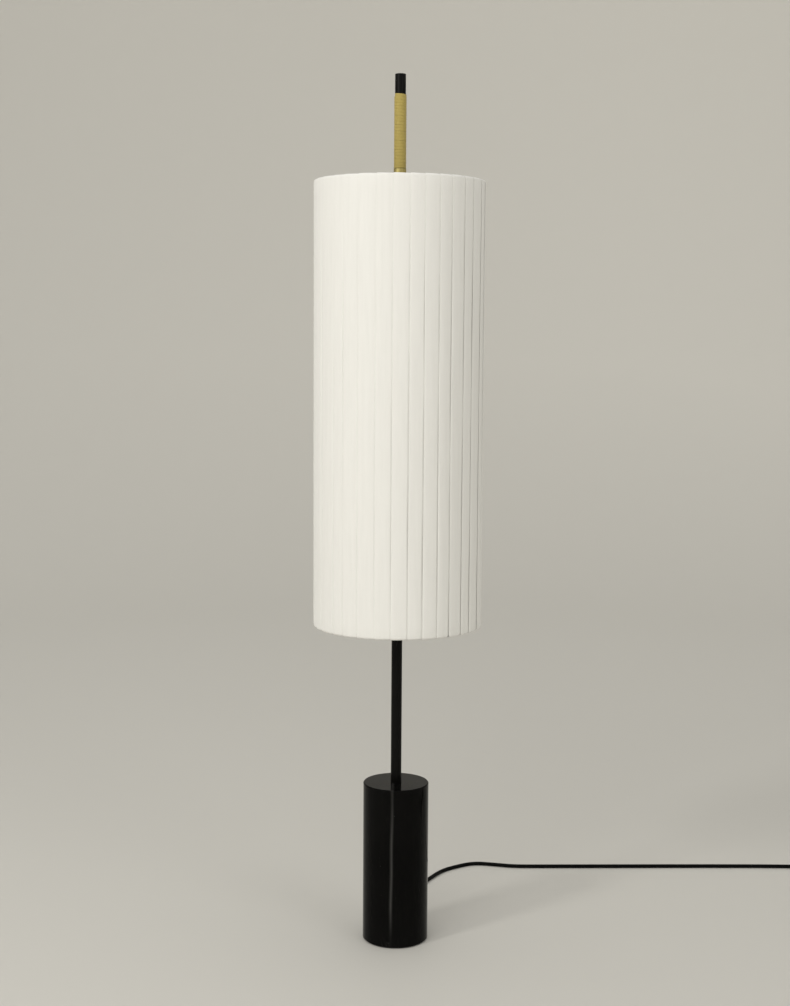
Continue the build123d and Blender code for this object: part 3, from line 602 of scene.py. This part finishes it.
def make_marble():
    """The marble turned in one piece: fine chamfers, stem socket and the recess underneath.

    The extra rows beside each chamfer keep the flat faces' shading flat.
    """
    low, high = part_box("marble_base")
    r = (high.x - low.x) / 2
    edge, soft, hold = MARBLE_EDGE, 0.0003, 0.0005
    rounding = soft * 0.4
    flat_r = r - edge - soft
    socket = STEM_R + 0.0002
    socket_rim = 0.0006
    recess_soft = 0.0004
    recess_top = low.z + RECESS_DEPTH
    outline = [
        (RECESS_R, recess_top), (RECESS_R, low.z + recess_soft), (RECESS_R + recess_soft, low.z),
        (RECESS_R + recess_soft + hold, low.z),
        (flat_r - hold, low.z), (flat_r, low.z), (r - edge, low.z + rounding),
        (r - rounding, low.z + edge), (r, low.z + edge + soft), (r, low.z + edge + soft + hold),
        (r, high.z - edge - soft - hold), (r, high.z - edge - soft), (r - rounding, high.z - edge),
        (r - edge, high.z - rounding), (flat_r, high.z), (flat_r - hold, high.z),
        (socket + socket_rim + hold, high.z), (socket + socket_rim, high.z),
        (socket, high.z - socket_rim),
        (socket, high.z - SOCKET_DEPTH), (ROD_HOLE_R, high.z - SOCKET_DEPTH),
        (ROD_HOLE_R, recess_top),
    ]
    around = 192
    points = []
    for i in range(around):
        a = FULL_TURN * i / around
        points += [(x * math.cos(a), x * math.sin(a), z) for x, z in outline]
    faces = turned_faces(around, len(outline), closed=True)
    foot = mesh_piece("marble_foot", "marble", points, faces)
    foot.data.set_sharp_from_angle(angle=math.radians(50))
    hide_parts("marble_base")


def make_felt():
    """The felt pad: a cut disc with a slightly uneven, soft edge."""
    low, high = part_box("base_felt_pad")
    r = (high.x - low.x) / 2
    thick = high.z - low.z
    chance = random.Random(3)
    around = 240
    edge_soft = 0.0004
    edge_inset = 0.0002
    # Each row is a share of the radius, a share of the height, and what it is set in by.
    rows = [(0.25, 0.0, 0.0), (0.5, 0.0, 0.0), (0.75, 0.0, 0.0), (1.0, 0.0, edge_soft),
            (1.0, 0.3, 0.0), (1.0, 0.7, 0.0), (1.0, 1.0, edge_soft), (0.5, 1.0, 0.0)]
    waves = [(k, chance.uniform(0, 6.28), chance.uniform(0.00002, 0.00006))
             for k in (3, 7, 13, 29, 53)]
    points = []
    for i in range(around):
        a = FULL_TURN * i / around
        uneven = sum(size * math.sin(k * a + phase) for k, phase, size in waves) - edge_inset
        for share, up, set_in in rows:
            x = share * (r + uneven) - set_in
            points.append((x * math.cos(a), x * math.sin(a), low.z + thick * up))
    n = len(rows)
    faces = turned_faces(around, n, closed=False)
    points += [(0.0, 0.0, low.z), (0.0, 0.0, high.z)]
    for i in range(around):
        j = (i + 1) % around
        faces.append((around * n, j * n, i * n))
        faces.append((around * n + 1, i * n + n - 1, j * n + n - 1))
    pad = mesh_piece("felt_pad", "felt", points, faces)
    pad.data.set_sharp_from_angle(angle=math.radians(60))
    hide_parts("base_felt_pad")


def make_tie():
    """A woven strap round the coil: one turn, its free end lapped over its start on top."""
    low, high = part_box("cord_tie")
    half = (high.x - low.x) / 2
    mid_x = (low.x + high.x) / 2
    corner = 0.0027
    corner_steps, corner_step = 7, 15
    lap_steps, lap_length, lap_slope, lap_air = 9, 0.012, 0.003, 0.0001
    y0, y1 = low.y + TIE_THICK / 2, high.y - TIE_THICK / 2
    z0, z1 = low.z + TIE_THICK / 2, high.z - TIE_THICK / 2
    corners = [(y1 - corner, z1 - corner, 90), (y1 - corner, z0 + corner, 0),
               (y0 + corner, z0 + corner, -90), (y0 + corner, z1 - corner, -180)]
    start = y0 + 0.35 * (y1 - y0)
    end = start + lap_length
    line = [(start, z1 - 0.00005), (start + 0.004, z1)]
    for y, z, turn in corners:
        for i in range(corner_steps):
            a = math.radians(turn - corner_step * i)
            line.append((y + corner * math.cos(a), z + corner * math.sin(a)))
    for i in range(lap_steps):
        y = y0 + corner + (end - y0 - corner) * (i + 1) / lap_steps
        lift = min(1.0, max(0.0, (y - start + lap_slope) / lap_slope))
        line.append((y, z1 + (TIE_THICK + lap_air) * lift * lift * (3 - 2 * lift)))
    section = [(-1.0, 0.3), (-0.96, 0.5), (-0.5, 0.5), (0.0, 0.5), (0.5, 0.5), (0.96, 0.5),
               (1.0, 0.3), (1.0, -0.3), (0.96, -0.5), (0.0, -0.5), (-0.96, -0.5), (-1.0, -0.3)]
    points, strips = [], []
    length = 0.0
    for i, (y, z) in enumerate(line):
        before = line[max(0, i - 1)]
        after = line[min(len(line) - 1, i + 1)]
        along = Vector((after[0] - before[0], after[1] - before[1])).normalized()
        out = Vector((-along.y, along.x))
        if i:
            length += math.dist(line[i], line[i - 1])
        for x, up in section:
            off = up * TIE_THICK
            points.append((mid_x + x * half, y + out.x * off, z + out.y * off))
            strips.append((x * half, length))
    faces = tube_faces(len(line), len(section))
    tie = mesh_piece("coil_strap", "lead_tie", points, faces, strips)
    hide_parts("cord_tie")
    return tie


def lead_curve(name, points):
    """A lead on one smooth line, with the route's corner points as its control points."""
    curve = bpy.data.curves.new(name, "CURVE")
    curve.dimensions = "3D"
    curve.bevel_depth = CORD_D / 2
    curve.bevel_resolution = 6
    curve.resolution_u = 16
    curve.use_fill_caps = True
    spline = curve.splines.new("NURBS")
    spline.points.add(len(points) - 1)
    for point, place in zip(spline.points, points):
        point.co = (*place, 1.0)
    spline.order_u = 3
    spline.use_endpoint_u = True
    lead = bpy.data.objects.new(name, curve)
    bpy.context.scene.collection.objects.link(lead)
    curve.materials.append(materials["mains_lead"])
    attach(lead, LAMP)
    return lead


def coil_points():
    """The coil's turns: in along the floor, up half-way, and out again on top."""
    points = []
    per_turn = 24
    half = COIL_TURNS / 2
    for i in range(COIL_TURNS * per_turn + 1):
        turn = i / per_turn
        r = COIL_R - COIL_STEP * (half - abs(turn - half))
        climb = min(1.0, max(0.0, 2 * (turn - half) + 0.5))
        z = COIL_LOW_Z + (COIL_HIGH_Z - COIL_LOW_Z) * climb * climb * (3 - 2 * climb)
        a = -FULL_TURN * turn
        points.append((COIL_CENTRE[0] + r * math.cos(a), COIL_CENTRE[1] + r * math.sin(a), z))
    return points


def make_spring():
    """The foot switch's coil spring, wound to fill the CAD spring's box; the real one shortens
    towards its seat as the button goes down.
    """
    low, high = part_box("switch_spring")
    wire_r = 0.00045
    turns, per_turn, around = 4, 36, 10
    mid_x, mid_y = (low.x + high.x) / 2, (low.y + high.y) / 2
    r = (high.x - low.x) / 2 - wire_r
    rings = turns * per_turn + 1
    points = []
    for step in range(rings):
        a = FULL_TURN * step / per_turn
        z = low.z + wire_r + (high.z - low.z - 2 * wire_r) * step / (rings - 1)
        for i in range(around):
            b = FULL_TURN * i / around
            out = r + wire_r * math.cos(b)
            points.append((mid_x + out * math.cos(a), mid_y + out * math.sin(a),
                           z - wire_r * math.sin(b)))
    spring = mesh_piece("button_spring", "steel", points, tube_faces(rings, around))
    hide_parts("switch_spring")
    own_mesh(spring)
    return spring


def make_leads():
    """The lead from the foot to its switch, and from there through the coil to the plug."""
    switch = ["switch_base", "switch_cover", "switch_button", make_spring(), "switch_screws",
              "switch_relief_lamp_side", "switch_relief_plug_side"]
    lamp_lead = lead_curve("lamp_lead", RUN_POINTS)
    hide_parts("cord_run")
    plug_lead = lead_curve("plug_lead", LINK_POINTS + coil_points() + TAIL_POINTS)
    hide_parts("cord_link", "cord_coil", "cord_tail")
    make_tie()


def make_set():
    """A pale seamless bowl round the lamp: floor, wide cove and wall in one sheet."""
    flat_r, cove, wall = 3.2, 2.8, 4.2
    cove_steps = 16
    outline = [(0.0, 0.0), (0.5, 0.0), (1.0, 0.0), (2.0, 0.0)]
    for i in range(cove_steps + 1):
        a = math.pi / 2 * i / cove_steps
        outline.append((flat_r + cove * math.sin(a), cove * (1 - math.cos(a))))
    outline.append((flat_r + cove, wall))
    around = 96
    points = []
    for i in range(around):
        a = FULL_TURN * i / around
        points += [(r * math.cos(a), r * math.sin(a), z) for r, z in outline]
    mesh = bpy.data.meshes.new("studio")
    mesh.from_pydata(points, [], turned_faces(around, len(outline), closed=False))
    made = bmesh.new()
    made.from_mesh(mesh)
    bmesh.ops.remove_doubles(made, verts=made.verts, dist=1e-5)
    bmesh.ops.recalc_face_normals(made, faces=made.faces)
    made.to_mesh(mesh)
    made.free()
    mesh.polygons.foreach_set("use_smooth", [True] * len(mesh.polygons))
    s = Surface("studio_paint", (0.60, 0.58, 0.54), 0.6, Specular_IOR_Level=0.2)
    x, _, z = s.split(s.place())
    # Painted light: the sheet is painted paler up the wall than on the floor, and on the wall
    # darker to the left and paler to the right, for how the lights fall on it.
    rise = s.ramp(z, [(0.0, BLACK), (0.9, WHITE)])
    slant = s.maths("ADD", s.maths("MULTIPLY", x, 0.21), 0.75)
    s.tint(s.maths("MULTIPLY", rise, slant), (0.625, 0.611, 0.567), (0.695, 0.678, 0.627),
           (0.0, 1.0))
    mesh.materials.append(s.material)
    studio = bpy.data.objects.new("studio", mesh)
    bpy.context.scene.collection.objects.link(studio)


def area_light(name, place, aim, size, power, colour):
    """A soft rectangular light that the camera doesn't see, with its size as (width, height)."""
    data = bpy.data.lights.new(name, "AREA")
    data.shape = "RECTANGLE"
    data.size, data.size_y = size
    data.energy = power
    data.color = colour
    light = bpy.data.objects.new(name, data)
    bpy.context.scene.collection.objects.link(light)
    light.location = place
    light.rotation_euler = (Vector(aim) - Vector(place)).to_track_quat("-Z", "Y").to_euler()
    light.visible_camera = False


def make_lights():
    """A key from the left, a wide one from the front, two weak fills and an even sky."""
    warm, soft_white, cool = (1.0, 0.985, 0.955), (1.0, 0.99, 0.97), (1.0, 0.99, 0.98)
    area_light("key_light", (-2.9, -2.45, 2.5), (0, 0, -1.0), (0.6, 0.6), 44.5, warm)
    area_light("front_key", (-1.35, -3.3, 3.0), (0, 0, -1.0), (2.4, 2.4), 41.0, soft_white)
    area_light("front_fill", (2.9, -3.3, 2.9), (0, 0, 0.9), (2.0, 2.0), 24.0, cool)
    area_light("wall_wash", (0.0, 2.2, 4.8), (0, 6.0, 2.8), (5.0, 0.8), 26.0, soft_white)
    world = bpy.data.worlds.new("studio_air")
    bpy.context.scene.world = world
    world.use_nodes = True
    air = world.node_tree.nodes["Background"]
    air.inputs["Color"].default_value = (*soft_white, 1.0)
    air.inputs["Strength"].default_value = 0.67


make_camera()
materials = make_materials()
make_leads()
for part in frame["record"]["subparts"]:
    dress(nodes[part["node"]], part["material_slot"])
make_marble()
make_felt()
make_shade()
make_winding()
make_set()
make_lights()
bpy.context.scene.view_settings.view_transform = "Standard"
